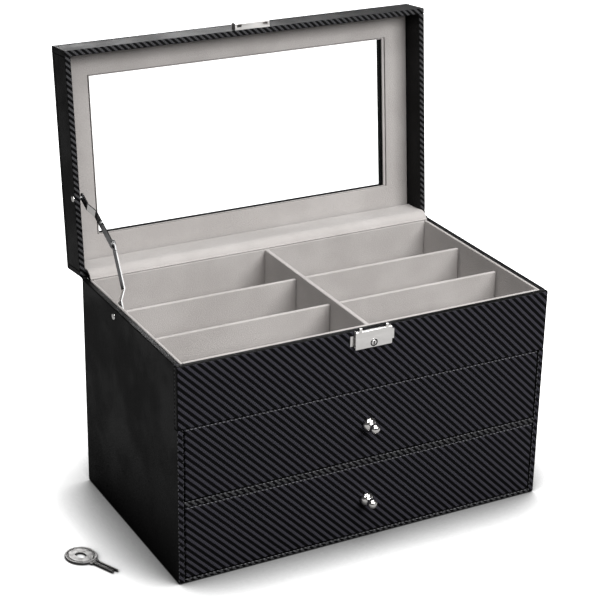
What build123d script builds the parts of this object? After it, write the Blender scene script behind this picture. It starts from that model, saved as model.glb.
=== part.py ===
from build123d import *
import os
from math import atan2, cos, degrees, hypot, radians, sin, sqrt

# Three-tier glasses organizer. Its lid stands open, as the organizer is shown and used.
# Frame: millimetres, +Z up, front face towards -Y, origin on the floor under the case's centre.

# ---------------------------------------------------------------- driving dimensions
CASE_W = 335.0
CASE_D = 188.7
CASE_H = 188.9
LID_H = 30.0
WALL = 5.0             # leather-covered board
LINING = 2.4           # velvet-covered card
FELT = 0.8
SEAM = 0.3             # gap between the closed lid and the case
SLIP = 0.4             # gap around a drawer

HALF_W = CASE_W / 2
HALF_D = CASE_D / 2
IN_X = HALF_W - WALL            # inner face of the side panels
IN_Y = HALF_D - WALL            # inner face of the front and back boards
LINED_X = IN_X - LINING
LINED_Y = IN_Y - LINING

BOTTOM_TOP = 4.0
SHELF = (67.8, 72.8)
TIER_Z = 135.6                  # lower edge of the tray's front panel
TRAY_FLOOR_TOP = 139.6
PAD_TOP = 141.0
DIVIDER = 3.8                   # centre divider
CROSS = 3.0                     # cross divider
CROSS_Y = 29.4                  # the cross dividers stand at plus and minus this
CROSS_TOP = 183.5

OPEN_ANGLE = 95.47
HINGE_Y = HALF_D + 1.8
HINGE_Z = CASE_H - 1.83
HINGE_AXIS = Axis((0, HINGE_Y, HINGE_Z), (1, 0, 0))

LID_BOTTOM = CASE_H + SEAM
LID_TOP = CASE_H + LID_H
FRAME_T = 5.0                   # board of the lid's window frame
PANE_T = 2.0
LID_LINING = 1.6
WALL_TOP = LID_TOP - FRAME_T
WINDOW_X = (-138.6, 135.6)      # the window sits slightly off the lid's centre line
WINDOW_Y = 66.3
LINING_WINDOW = (140.6, 67.7)
PANE_HALF = (145.6, 73.0)

FRONT = -HALF_D                 # front plane of the case


def save(part, name):
    """Name one finished piece and write it."""
    part.label = name
    export_step(part, f"parts/{name}.step")


def opened(part):
    """Turn a piece of the lid from where it lies when closed to where it stands open."""
    return part.rotate(HINGE_AXIS, -OPEN_ANGLE)


def board(x, y, z):
    """A flat board that fills the given (low, high) ranges."""
    with BuildPart() as panel:
        with BuildSketch(Plane.XY.offset(z[0])):
            with Locations(((x[0] + x[1]) / 2, (y[0] + y[1]) / 2)):
                Rectangle(x[1] - x[0], y[1] - y[0])
        extrude(amount=z[1] - z[0])
    return panel.part


def rod(origin, direction, radius, length):
    """A plain round rod from a point, used to cut fastener holes."""
    with BuildPart() as pin:
        with BuildSketch(Plane(origin=origin, z_dir=direction)):
            Circle(radius)
        extrude(amount=length)
    return pin.part


def headed_pin(origin, direction, shank_r, length, head_r, head_h, dome=0.45):
    """A screw or rivet: the head's underside is at origin and the shank runs along direction."""
    back = tuple(-c for c in direction)
    with BuildPart() as pin:
        with BuildSketch(Plane(origin=origin, z_dir=direction)):
            Circle(shank_r)
        extrude(amount=length)
        with BuildSketch(Plane(origin=origin, z_dir=back)):
            Circle(head_r)
        extrude(amount=head_h)
        top = pin.faces().sort_by(Axis(origin, back))[-1]
        fillet(top.edges(), radius=head_h * dome * 2)
    return pin.part


os.makedirs("parts", exist_ok=True)

# ---------------------------------------------------------------- case boards
STAY_CASE = (26.8, 181.8)       # y, z of the lid stay's pivot on the case
HINGE_X = 100.0                 # the two hinges stand at plus and minus this
HINGE_LEN = 40.0
SCREW_X = 13.0                  # screws either side of a hinge's middle
CASE_SCREW_Z = 174.0
LID_SCREW_Z = 200.0
SCREW_R = 1.0
SCREW_DEPTH = 3.6
HOLE_GAP = 0.05
LEAF_T = 0.8
LOCK_SCREWS = [(-12.0, 178.0), (12.0, 178.0)]
RIVET_R = 1.5

save(board((-HALF_W + 1, HALF_W - 1), (-HALF_D + 1, HALF_D - 1), (0, FELT)), "base_felt")
save(board((-IN_X, IN_X), (FRONT, IN_Y), (FELT, BOTTOM_TOP)), "bottom_board")
save(board((-IN_X, IN_X), (FRONT, IN_Y), SHELF), "drawer_shelf")
save(board((-IN_X, IN_X), (-IN_Y, IN_Y), (TIER_Z, TRAY_FLOOR_TOP)), "tray_floor_board")

# each side panel steps back behind the full-width front panel of the tray
for side, name in ((-1, "left_side_panel"), (1, "right_side_panel")):
    x_low = -HALF_W if side < 0 else IN_X
    with BuildPart() as side_panel:
        with BuildSketch(Plane.YZ.offset(x_low)):
            with BuildLine():
                Polyline(
                    (FRONT, FELT), (HALF_D, FELT), (HALF_D, CASE_H),
                    (-IN_Y, CASE_H), (-IN_Y, TIER_Z), (FRONT, TIER_Z), close=True,
                )
            make_face()
            if side < 0:
                with Locations(STAY_CASE):
                    Circle(RIVET_R + HOLE_GAP, mode=Mode.SUBTRACT)
        extrude(amount=WALL)
    save(side_panel.part, name)

hinge_holes = [(s * HINGE_X + d * SCREW_X) for s in (-1, 1) for d in (-1, 1)]

with BuildPart() as back_panel:
    add(board((-IN_X, IN_X), (IN_Y, HALF_D), (FELT, CASE_H)))
    for x in hinge_holes:
        hole = rod((x, HALF_D, CASE_SCREW_Z), (0, -1, 0), SCREW_R + HOLE_GAP, SCREW_DEPTH + 0.1)
        add(hole, mode=Mode.SUBTRACT)
save(back_panel.part, "back_panel")

with BuildPart() as top_front_panel:
    add(board((-HALF_W, HALF_W), (FRONT, -IN_Y), (TIER_Z, CASE_H)))
    for x, z in LOCK_SCREWS:
        hole = rod((x, FRONT, z), (0, 1, 0), 0.8 + HOLE_GAP, SCREW_DEPTH + 0.1)
        add(hole, mode=Mode.SUBTRACT)
save(top_front_panel.part, "top_front_panel")

# ---------------------------------------------------------------- tray lining and dividers
with BuildPart() as tray_lining_left:
    add(board((-IN_X, -LINED_X), (-IN_Y, IN_Y), (TRAY_FLOOR_TOP, CASE_H)))
    add(rod((-IN_X - 1, *STAY_CASE), (1, 0, 0), RIVET_R + HOLE_GAP, WALL), mode=Mode.SUBTRACT)
save(tray_lining_left.part, "tray_lining_left")
save(board((LINED_X, IN_X), (-IN_Y, IN_Y), (TRAY_FLOOR_TOP, CASE_H)), "tray_lining_right")
save(board((-LINED_X, LINED_X), (-IN_Y, -LINED_Y), (TRAY_FLOOR_TOP, CASE_H)), "tray_lining_front")
save(board((-LINED_X, LINED_X), (LINED_Y, IN_Y), (TRAY_FLOOR_TOP, CASE_H)), "tray_lining_back")
save(board((-LINED_X, LINED_X), (-LINED_Y, LINED_Y), (TRAY_FLOOR_TOP, PAD_TOP)), "tray_floor_lining")


def cross_group(inner, outer, y_places, z):
    """Four cross dividers, one solid each side of the centre divider at each place."""
    with BuildPart() as group:
        for y in y_places:
            for side in (-1, 1):
                x = sorted((side * inner, side * outer))
                add(board(x, (y - CROSS / 2, y + CROSS / 2), z))
    return group.part


CENTER_GAP = 0.15
CROSS_INNER = DIVIDER / 2 + CENTER_GAP
TRAY_CROSS_END = LINED_X - 1.5
save(
    board((-DIVIDER / 2, DIVIDER / 2), (-LINED_Y + 0.2, LINED_Y - 0.2), (PAD_TOP, CASE_H - 0.3)),
    "tray_center_divider",
)
save(
    cross_group(CROSS_INNER, TRAY_CROSS_END, (-CROSS_Y, CROSS_Y), (PAD_TOP, CROSS_TOP)),
    "tray_cross_dividers",
)

# ---------------------------------------------------------------- drawers
DRAWER_FRONT_X = IN_X - 1.0
DRAWER_SIDE_X = IN_X - 1.3
DRAWER_SIDE_T = 4.0
DRAWER_BACK_Y = IN_Y - 3.0
DRAWER_FLOOR_T = 4.0
DRAWER_HEADROOM = 8.0
KNOB_BALL_R = 4.35
KNOB_BALL_Y = 10.0             # the ball's centre, out of the drawer front
KNOB_NECK_R = 2.0


def knob(z):
    """A turned pull: flattened dome on the drawer front, a neck and a round ball."""
    with BuildPart() as pull:
        with BuildSketch(Plane(origin=(0, FRONT, z), x_dir=(1, 0, 0), z_dir=(0, 0, 1))) as profile:
            with BuildLine():
                neck_y = sqrt(KNOB_BALL_R ** 2 - KNOB_NECK_R ** 2) - KNOB_BALL_Y
                Line((0, 0), (5.4, 0))
                Spline((5.4, 0), (6.0, -1.9), (4.6, -3.9), (2.4, -5.1))
                Line((2.4, -5.1), (KNOB_NECK_R, neck_y))
                tip = (0, -KNOB_BALL_Y - KNOB_BALL_R)
                ThreePointArc((KNOB_NECK_R, neck_y), (KNOB_BALL_R, -KNOB_BALL_Y), tip)
                Line(tip, (0, 0))
            make_face()
        revolve(axis=Axis((0, FRONT, z), (0, 1, 0)))
    return pull.part


def drawer(prefix, z_low, z_high):
    """One drawer between two heights: front, box, dividers and pull."""
    front_z = (z_low + 0.6, z_high - 0.6)
    floor_z = (z_low + SLIP, z_low + SLIP + DRAWER_FLOOR_T)
    wall_z = (floor_z[1], z_high - DRAWER_HEADROOM)
    box_y = (-IN_Y, DRAWER_BACK_Y)
    side_in = DRAWER_SIDE_X - DRAWER_SIDE_T
    back_in = DRAWER_BACK_Y - DRAWER_SIDE_T
    save(board((-DRAWER_FRONT_X, DRAWER_FRONT_X), (FRONT, -IN_Y), front_z), f"{prefix}_front")
    save(board((-DRAWER_SIDE_X, DRAWER_SIDE_X), box_y, floor_z), f"{prefix}_floor")
    save(board((-DRAWER_SIDE_X, -side_in), box_y, wall_z), f"{prefix}_left_side")
    save(board((side_in, DRAWER_SIDE_X), box_y, wall_z), f"{prefix}_right_side")
    save(board((-side_in, side_in), (back_in, DRAWER_BACK_Y), wall_z), f"{prefix}_back")
    middle = (-DIVIDER / 2, DIVIDER / 2)
    save(board(middle, (-IN_Y, back_in), wall_z), f"{prefix}_center_divider")
    third = (back_in + IN_Y) / 3
    places = [-IN_Y + third, -IN_Y + 2 * third]
    cross_z = (wall_z[0], wall_z[1] - 4)
    group = cross_group(CROSS_INNER, side_in - CENTER_GAP, places, cross_z)
    save(group, f"{prefix}_cross_dividers")
    save(knob((front_z[0] + front_z[1]) / 2), f"{prefix}_knob")


drawer("upper_drawer", SHELF[1], TIER_Z)
drawer("lower_drawer", BOTTOM_TOP, SHELF[0])

# ---------------------------------------------------------------- lid boards, window and lining
STAY_LID = (27.95, 192.4)       # y, z of the stay's pivot on the closed lid
STRIKE_RIVETS = [(-8.0, 193.4), (8.0, 193.4)]

with BuildPart() as lid_left_wall:
    add(board((-HALF_W, -IN_X), (-IN_Y, IN_Y), (LID_BOTTOM, WALL_TOP)))
    add(rod((-HALF_W - 1, *STAY_LID), (1, 0, 0), RIVET_R + HOLE_GAP, WALL + 2), mode=Mode.SUBTRACT)
save(opened(lid_left_wall.part), "lid_left_wall")
save(opened(board((IN_X, HALF_W), (-IN_Y, IN_Y), (LID_BOTTOM, WALL_TOP))), "lid_right_wall")

with BuildPart() as lid_front_wall:
    add(board((-HALF_W, HALF_W), (FRONT, -IN_Y), (LID_BOTTOM, WALL_TOP)))
    for x, z in STRIKE_RIVETS:
        add(rod((x, FRONT, z), (0, 1, 0), 0.8 + HOLE_GAP, SCREW_DEPTH), mode=Mode.SUBTRACT)
save(opened(lid_front_wall.part), "lid_front_wall")

with BuildPart() as lid_back_wall:
    add(board((-HALF_W, HALF_W), (IN_Y, HALF_D), (LID_BOTTOM, WALL_TOP)))
    for x in hinge_holes:
        hole = rod((x, HALF_D, LID_SCREW_Z), (0, -1, 0), SCREW_R + HOLE_GAP, SCREW_DEPTH + 0.1)
        add(hole, mode=Mode.SUBTRACT)
save(opened(lid_back_wall.part), "lid_back_wall")

with BuildPart() as lid_top_frame:
    add(board((-HALF_W, HALF_W), (FRONT, HALF_D), (WALL_TOP, LID_TOP)))
    add(board(WINDOW_X, (-WINDOW_Y, WINDOW_Y), (WALL_TOP, LID_TOP)), mode=Mode.SUBTRACT)
    rebate = board(
        (-PANE_HALF[0] - 0.1, PANE_HALF[0] + 0.1),
        (-PANE_HALF[1] - 0.1, PANE_HALF[1] + 0.1),
        (WALL_TOP, WALL_TOP + PANE_T),
    )
    add(rebate, mode=Mode.SUBTRACT)
save(opened(lid_top_frame.part), "lid_top_frame")

pane = board(
    (-PANE_HALF[0], PANE_HALF[0]), (-PANE_HALF[1], PANE_HALF[1]), (WALL_TOP, WALL_TOP + PANE_T)
)
save(opened(pane), "lid_window_pane")

with BuildPart() as lid_lining_frame:
    with BuildSketch(Plane.XY.offset(WALL_TOP - LID_LINING)):
        Rectangle(2 * IN_X - 0.2, 2 * IN_Y - 0.2)
        Rectangle(2 * LINING_WINDOW[0], 2 * LINING_WINDOW[1], mode=Mode.SUBTRACT)
    extrude(amount=LID_LINING)
save(opened(lid_lining_frame.part), "lid_lining_frame")

# ---------------------------------------------------------------- rear hinges
KNUCKLE_R = 1.75
PIN_R = 1.0
KNUCKLES = 5
KNUCKLE_GAP = 0.3
LEAF_REACH = 17.0
FINGER_CLEAR = KNUCKLE_R + 0.45


def hinge_leaf(center_x, up):
    """One leaf in the closed position. The lid's leaf goes up and carries the even knuckles."""
    pitch = HINGE_LEN / KNUCKLES
    sign = 1 if up else -1
    with BuildPart() as leaf:
        z = sorted((HINGE_Z + sign * FINGER_CLEAR, HINGE_Z + sign * LEAF_REACH))
        x = (center_x - HINGE_LEN / 2, center_x + HINGE_LEN / 2)
        add(board(x, (HALF_D, HALF_D + LEAF_T), z))
        for index in range(KNUCKLES):
            if (index % 2 == 1) != up:
                continue
            low = x[0] + index * pitch + KNUCKLE_GAP / 2
            finger = (low, low + pitch - KNUCKLE_GAP)
            finger_z = sorted((HINGE_Z, HINGE_Z + sign * (FINGER_CLEAR + 0.5)))
            add(board(finger, (HALF_D + 0.1, HALF_D + LEAF_T), finger_z))
            add(rod((finger[0], HINGE_Y, HINGE_Z), (1, 0, 0), KNUCKLE_R - 0.05, pitch - KNUCKLE_GAP))
        bore = rod((x[0] - 1, HINGE_Y, HINGE_Z), (1, 0, 0), PIN_R + HOLE_GAP, HINGE_LEN + 2)
        add(bore, mode=Mode.SUBTRACT)
        screw_z = LID_SCREW_Z if up else CASE_SCREW_Z
        for side in (-1, 1):
            start = (center_x + side * SCREW_X, HALF_D - 1, screw_z)
            add(rod(start, (0, 1, 0), SCREW_R + HOLE_GAP, LEAF_T + 2), mode=Mode.SUBTRACT)
    return leaf.part


def pair(pieces):
    """Several alike solids kept as one group."""
    with BuildPart() as group:
        for piece in pieces:
            add(piece)
    return group.part


hinge_centers = (-HINGE_X, HINGE_X)
save(pair([hinge_leaf(x, up=False) for x in hinge_centers]), "hinge_case_leaves")
save(opened(pair([hinge_leaf(x, up=True) for x in hinge_centers])), "hinge_lid_leaves")
hinge_pins = [
    rod((x - HINGE_LEN / 2, HINGE_Y, HINGE_Z), (1, 0, 0), PIN_R, HINGE_LEN) for x in hinge_centers
]
save(pair(hinge_pins), "hinge_pins")


def leaf_screws(z):
    """The four screws of one row of leaves."""
    face = HALF_D + LEAF_T
    return [
        headed_pin((x, face, z), (0, -1, 0), SCREW_R, LEAF_T + SCREW_DEPTH - 0.2, 1.9, 0.6)
        for x in hinge_holes
    ]


save(pair(leaf_screws(CASE_SCREW_Z)), "hinge_case_screws")
save(opened(pair(leaf_screws(LID_SCREW_Z))), "hinge_lid_screws")

# the velvet flap that hides the hinge gap from inside: from the lid's lining, over the lid's
# back wall, across the gap and onto the rim of the tray
LINER_X = IN_X - 0.2
with BuildPart() as hinge_liner:
    with BuildSketch(Plane.YZ.offset(-LINER_X)):
        with BuildLine():
            under = Polyline((88.0, 189.1), (94.2, 189.1), (96.4, 193.0), (98.6, 194.0), (121.4, 191.9))
            Line(under @ 1, (121.0, 194.2))
            Spline((121.0, 194.2), (105.0, 196.0), (97.0, 196.1), (91.6, 193.8), (87.2, 189.3))
            Line((87.2, 189.3), under @ 0)
        make_face()
    extrude(amount=2 * LINER_X)
save(hinge_liner.part, "hinge_liner")

# the leather strip that closes the gap above the hinges over the case's whole width
STRIP_Y = (HALF_D + 0.15, HALF_D + 3.8)
STRIP_Z = (CASE_H + 0.05, CASE_H + 0.5)
save(board((-HALF_W + 0.2, HALF_W - 0.2), STRIP_Y, STRIP_Z), "hinge_gap_strip")

# ---------------------------------------------------------------- lock on the tray's front
PLATE_T = 0.8
LOCK_PIN = (FRONT - 1.75, 187.1)        # y, z of the lever's pivot
LOCK_PIN_R = 0.6
LEVER_W = 33.0
LEVER_Z = (173.3, 188.3)
LEVER_Y = (FRONT - 3.6, FRONT - 2.8)
EAR_X = 19.8
CHEEK_X = (15.3, 16.1)
CLAW_X = 12.0
CLAW_W = 2.4
CLAW_TOP = 191.3
ROLL_R = 1.2
CYLINDER_Z = 177.3
CYLINDER_R = 3.4
CAM_Y = (FRONT - 2.7, FRONT - 2.1)
BASE_Y = (FRONT - PLATE_T, FRONT)

with BuildPart() as lock_base_plate:
    add(board((-EAR_X, EAR_X), BASE_Y, (176.0, 184.6)))
    add(board((-CHEEK_X[1], CHEEK_X[1]), BASE_Y, (174.5, 185.2)))
    for side in (-1, 1):
        cheek_x = sorted((side * CHEEK_X[0], side * CHEEK_X[1]))
        add(board(cheek_x, (FRONT - 2.5, FRONT), (185.2, 188.4)))
        start = (side * CHEEK_X[0] - 2, *LOCK_PIN)
        add(rod(start, (1, 0, 0), LOCK_PIN_R + 0.03, 4), mode=Mode.SUBTRACT)
    for x, z in LOCK_SCREWS:
        add(rod((x, FRONT - 2, z), (0, 1, 0), 0.8 + HOLE_GAP, 3), mode=Mode.SUBTRACT)
save(lock_base_plate.part, "lock_base_plate")

lock_screws = [
    headed_pin((x, FRONT - PLATE_T, z), (0, 1, 0), 0.8, SCREW_DEPTH, 1.5, 0.5)
    for x, z in LOCK_SCREWS
]
save(pair(lock_screws), "lock_screws")
save(rod((-CHEEK_X[1], *LOCK_PIN), (1, 0, 0), LOCK_PIN_R, 2 * CHEEK_X[1]), "lock_pin")

with BuildPart() as lock_lever:
    add(board((-LEVER_W / 2, LEVER_W / 2), LEVER_Y, LEVER_Z))
    roll_x = CHEEK_X[0] - 0.3
    add(rod((-roll_x, *LOCK_PIN), (1, 0, 0), ROLL_R, 2 * roll_x))
    for side in (-1, 1):
        claw = (side * CLAW_X - CLAW_W / 2, side * CLAW_X + CLAW_W / 2)
        add(board(claw, (LEVER_Y[0] + 0.2, LEVER_Y[1]), (LEVER_Z[1] - 0.5, CLAW_TOP)))
        add(board(claw, (LEVER_Y[1] - 0.1, LEVER_Y[1] + 0.4), (CLAW_TOP - 0.45, CLAW_TOP)))
    bore = rod((-LEVER_W, *LOCK_PIN), (1, 0, 0), LOCK_PIN_R + HOLE_GAP, 2 * LEVER_W)
    add(bore, mode=Mode.SUBTRACT)
    barrel = rod((0, LEVER_Y[0] - 1, CYLINDER_Z), (0, 1, 0), CYLINDER_R + HOLE_GAP, 3)
    add(barrel, mode=Mode.SUBTRACT)
save(lock_lever.part, "lock_lever")

# the lock's key barrel shows flush in the lever, with its cam behind
with BuildPart() as lock_cylinder:
    add(rod((0, LEVER_Y[0] - 0.2, CYLINDER_Z), (0, 1, 0), CYLINDER_R, CAM_Y[0] - LEVER_Y[0] + 0.2))
    keyway = board((-0.5, 0.5), (LEVER_Y[0] - 1, LEVER_Y[0] + 0.4), (CYLINDER_Z - 1.8, CYLINDER_Z + 1.8))
    add(keyway, mode=Mode.SUBTRACT)
save(lock_cylinder.part, "lock_cylinder")

with BuildPart() as lock_cam:
    add(rod((0, CAM_Y[0], CYLINDER_Z), (0, 1, 0), 2.4, CAM_Y[1] - CAM_Y[0]))
    add(board((-4.8, 0), CAM_Y, (CYLINDER_Z - 1.2, CYLINDER_Z + 1.2)))
save(lock_cam.part, "lock_cam")

SPRING_T = 0.3
with BuildPart() as lock_spring:
    with BuildSketch(Plane.YZ.offset(5.5)):
        with BuildLine():
            plate_face = FRONT - PLATE_T
            Polyline(
                (plate_face, 184.0), (plate_face, 181.5), (FRONT - 2.5, 176.4), (FRONT - 2.5, 175.4),
                (FRONT - 2.5 - SPRING_T, 175.4), (FRONT - 2.5 - SPRING_T, 176.5),
                (plate_face - SPRING_T, 181.6), (plate_face - SPRING_T, 184.0), close=True,
            )
        make_face()
    extrude(amount=4.0)
save(lock_spring.part, "lock_spring")

# the lid's strike: a folded hood over the lock, with a slot for each of the lever's claws
STRIKE_X = 16.0
STRIKE_Y = FRONT - 5.5
STRIKE_Z = (LID_BOTTOM + 0.8, LID_BOTTOM + 7.3)
with BuildPart() as lid_strike:
    add(board((-STRIKE_X, STRIKE_X), (STRIKE_Y, FRONT), STRIKE_Z))
    edges = lid_strike.edges().filter_by(Axis.X).group_by(Axis.Y)[0]
    chamfer(edges, length=0.5)
    hollow = board(
        (-STRIKE_X + PLATE_T, STRIKE_X - PLATE_T),
        (STRIKE_Y + PLATE_T, FRONT - PLATE_T),
        (STRIKE_Z[0] + PLATE_T, STRIKE_Z[1] - PLATE_T),
    )
    add(hollow, mode=Mode.SUBTRACT)
    for side in (-1, 1):
        slot_x = (side * CLAW_X - 2.2, side * CLAW_X + 2.2)
        slot = board(slot_x, (FRONT - 4.25, FRONT - 2.2), (STRIKE_Z[0] - 1, STRIKE_Z[0] + 1))
        add(slot, mode=Mode.SUBTRACT)
    for x, z in STRIKE_RIVETS:
        add(rod((x, FRONT - 1.5, z), (0, 1, 0), 0.8 + HOLE_GAP, 2), mode=Mode.SUBTRACT)
save(opened(lid_strike.part), "lid_strike")
strike_rivets = [
    headed_pin((x, FRONT - PLATE_T, z), (0, 1, 0), 0.8, SCREW_DEPTH, 1.4, 0.5)
    for x, z in STRIKE_RIVETS
]
save(opened(pair(strike_rivets)), "lid_strike_rivets")

# ---------------------------------------------------------------- folding lid stay
ARM_T = 1.0
ARM_W = 7.0
EYE_R = 3.6
LUG_X = -LINED_X + 0.15         # both arms start against the tray's lining
UPPER_X = -156.4
LOWER_X = UPPER_X + ARM_T + 0.3
ARM_LENGTHS = (57.5, 57.0)      # lower, upper
JOGGLE = ((11.0, 20.0), (12.0, 21.0))


def lid_point(y, z):
    """Where a point of the closed lid stands when the lid is open."""
    c = cos(radians(OPEN_ANGLE))
    s = sin(radians(OPEN_ANGLE))
    dy = y - HINGE_Y
    dz = z - HINGE_Z
    return (HINGE_Y + c * dy + s * dz, HINGE_Z - s * dy + c * dz)


def elbow_of(low, high):
    """The elbow of the two arms, on the front side of the line between their pivots."""
    span = hypot(high[0] - low[0], high[1] - low[1])
    uy = (high[0] - low[0]) / span
    uz = (high[1] - low[1]) / span
    along = (ARM_LENGTHS[0] ** 2 - ARM_LENGTHS[1] ** 2 + span ** 2) / (2 * span)
    out = sqrt(ARM_LENGTHS[0] ** 2 - along ** 2)
    return (low[0] + along * uy - out * uz, low[1] + along * uz + out * uy)


def stay_arm(pivot, elbow, arm_x, joggle):
    """A flat strip from its pivot lug, stepped inward by a joggle, to the eye at the elbow."""
    length = hypot(elbow[0] - pivot[0], elbow[1] - pivot[1])
    uy = (elbow[0] - pivot[0]) / length
    uz = (elbow[1] - pivot[1]) / length
    strip_plane = Plane(origin=(0, *pivot), x_dir=(0, uy, uz), z_dir=(0, uz, -uy))
    start, end = joggle
    with BuildPart() as arm:
        with BuildSketch(strip_plane):
            with BuildLine():
                Polyline(
                    (0, LUG_X), (start, LUG_X), (end, arm_x), (length, arm_x),
                    (length, arm_x + ARM_T), (end, arm_x + ARM_T),
                    (start, LUG_X + ARM_T), (0, LUG_X + ARM_T), close=True,
                )
            make_face()
        extrude(amount=ARM_W / 2, both=True)
        for x, place in ((LUG_X, pivot), (arm_x, elbow)):
            add(rod((x, *place), (1, 0, 0), EYE_R, ARM_T))
            add(rod((x - 1, *place), (1, 0, 0), RIVET_R + HOLE_GAP, ARM_T + 2), mode=Mode.SUBTRACT)
    return arm.part, (uy, uz)


stay_top = lid_point(*STAY_LID)
elbow = elbow_of(STAY_CASE, stay_top)
lower_arm, _ = stay_arm(STAY_CASE, elbow, LOWER_X, JOGGLE[0])
LOOP_LENGTH = 6.5               # the loop at the elbow reaches back along the arm
LOOP_SLOT_R = 1.1
with BuildPart() as stay_lower_arm:
    add(lower_arm)
    along_y = (elbow[0] - STAY_CASE[0]) / ARM_LENGTHS[0]
    along_z = (elbow[1] - STAY_CASE[1]) / ARM_LENGTHS[0]
    slot_end = (elbow[0] - LOOP_LENGTH * along_y, elbow[1] - LOOP_LENGTH * along_z)
    add(rod((LOWER_X, *slot_end), (1, 0, 0), EYE_R, ARM_T))
    add(rod((LOWER_X - 1, *slot_end), (1, 0, 0), LOOP_SLOT_R, ARM_T + 2), mode=Mode.SUBTRACT)
save(stay_lower_arm.part, "stay_lower_arm")

upper_strip, (run_y, run_z) = stay_arm(stay_top, elbow, UPPER_X, JOGGLE[1])
STUD_AT = 35.0
stud_y = stay_top[0] + STUD_AT * run_y + 3.4 * run_z
stud_z = stay_top[1] + STUD_AT * run_z - 3.4 * run_y
with BuildPart() as stay_upper_arm:
    add(upper_strip)
    add(rod((UPPER_X - 0.7, *elbow), (1, 0, 0), 2.7, 0.9))
    add(rod((UPPER_X - 1.6, stud_y, stud_z), (1, 0, 0), 1.5, 2.0))
save(stay_upper_arm.part, "stay_upper_arm")

# the elbow's rivet is fixed to the lower arm and ends flush with it
elbow_head = (LOWER_X + ARM_T, *elbow)
save(headed_pin(elbow_head, (-1, 0, 0), RIVET_R, ARM_T, 3.0, 1.0), "stay_elbow_rivet")

# both pivot rivets go through the leather-covered side and end flush with the arm's lug
RIVET_HEAD = (2.7, 1.0)
rivet_length = WALL + LINING + 0.15 + ARM_T
case_rivet = headed_pin((-HALF_W, *STAY_CASE), (1, 0, 0), RIVET_R, rivet_length, *RIVET_HEAD)
save(case_rivet, "stay_case_rivet")
with BuildPart() as stay_lid_rivet:
    add(headed_pin((-HALF_W, *STAY_LID), (1, 0, 0), RIVET_R, rivet_length, *RIVET_HEAD))
    add(rod((-IN_X, *STAY_LID), (1, 0, 0), 2.1, LINING + 0.05))
save(opened(stay_lid_rivet.part), "stay_lid_rivet")

# ---------------------------------------------------------------- key, lying in front on the floor
KEY_T = 2.0
KEY_AT = (-220.4, -21.0)
KEY_DIRECTION = (0.417, -0.909)
BLADE_W = 5.6
TOOTH = [(20.0, 0.7), (24.0, 1.1), (28.0, 0.6), (32.0, 0.9)]      # place, depth
with BuildPart() as key:
    with BuildSketch(Plane(origin=(*KEY_AT, 0), x_dir=(*KEY_DIRECTION, 0), z_dir=(0, 0, 1))):
        Ellipse(13.5, 12.0)
        with Locations((13.0, 0)):
            Rectangle(6.0, 8.4)
        with Locations((25.0, 0)):
            Rectangle(21.0, BLADE_W)
        with BuildLine():
            half = BLADE_W / 2
            Polyline((35.4, -half), (38.2, -0.6), (38.2, 0.6), (35.4, half), close=True)
        make_face()
        with Locations((-1.6, 0)):
            Circle(3.2, mode=Mode.SUBTRACT)
        for place, depth in TOOTH:
            with Locations((place, -BLADE_W / 2)):
                RegularPolygon(depth, 4, mode=Mode.SUBTRACT)
    extrude(amount=KEY_T)
save(key.part, "key")

closed_span = elbow_of(STAY_CASE, STAY_LID)
lower_turn = degrees(
    atan2(closed_span[1] - STAY_CASE[1], closed_span[0] - STAY_CASE[0])
    - atan2(elbow[1] - STAY_CASE[1], elbow[0] - STAY_CASE[0])
)
upper_closed = atan2(closed_span[1] - STAY_LID[1], closed_span[0] - STAY_LID[0])
upper_open = atan2(elbow[1] - stay_top[1], elbow[0] - stay_top[0])
print(f"stay: lid pivot {stay_top}, elbow {elbow}, folded elbow {closed_span}")
print(f"stay: lower arm turns {lower_turn:.2f} degrees from open to closed")
print(f"stay: upper arm world angles, open {degrees(upper_open):.2f}, closed {degrees(upper_closed):.2f}")
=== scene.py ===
# %% [markdown]
# # A three-tier glasses organizer
# The organizer is a box of leather-covered boards. Its lid has a window and stands open on a
# folding stay, over a velvet-lined tray. Two drawers slide out of the front below the tray.
# The CAD model gives every board its place. Here each visible part is modelled again with soft
# edges and its own finish, and most of them ride on the same body as the CAD part that they stand
# for. Only the small fittings keep their CAD shapes.

# %% Load the frame
from math import atan2, cos, pi, radians, sin, sqrt

import bpy
from mathutils import Matrix, Vector


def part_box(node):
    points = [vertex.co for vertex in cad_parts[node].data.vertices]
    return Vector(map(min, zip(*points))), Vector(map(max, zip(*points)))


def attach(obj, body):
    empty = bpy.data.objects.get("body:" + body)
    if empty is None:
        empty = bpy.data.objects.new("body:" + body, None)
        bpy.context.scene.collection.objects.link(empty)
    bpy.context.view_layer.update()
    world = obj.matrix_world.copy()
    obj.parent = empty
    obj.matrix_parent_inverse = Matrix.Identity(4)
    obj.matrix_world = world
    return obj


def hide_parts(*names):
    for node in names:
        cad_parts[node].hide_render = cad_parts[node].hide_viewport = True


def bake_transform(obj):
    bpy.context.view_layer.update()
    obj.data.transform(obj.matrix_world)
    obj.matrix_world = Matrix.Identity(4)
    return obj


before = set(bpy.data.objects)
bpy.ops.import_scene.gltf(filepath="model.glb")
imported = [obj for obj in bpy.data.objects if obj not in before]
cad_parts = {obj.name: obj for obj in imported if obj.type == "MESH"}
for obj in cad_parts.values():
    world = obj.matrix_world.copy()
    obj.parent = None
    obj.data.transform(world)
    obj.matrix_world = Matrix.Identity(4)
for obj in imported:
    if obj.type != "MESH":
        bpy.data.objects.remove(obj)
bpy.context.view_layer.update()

# %% [markdown]
# ## The camera
# A long lens from above the front left corner shows the front, the left side and the open tray.
# Its direction is given as two angles and a small roll, and its axes are worked out from them.

# %% Camera
CAMERA_PLACE = Vector((-0.66301, -1.19955, 0.76905))
CAMERA_AZIMUTH = radians(-28.43)
CAMERA_HEIGHT = radians(23.44)
CAMERA_ROLL = radians(1.07)
LENS = 108.4

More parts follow.
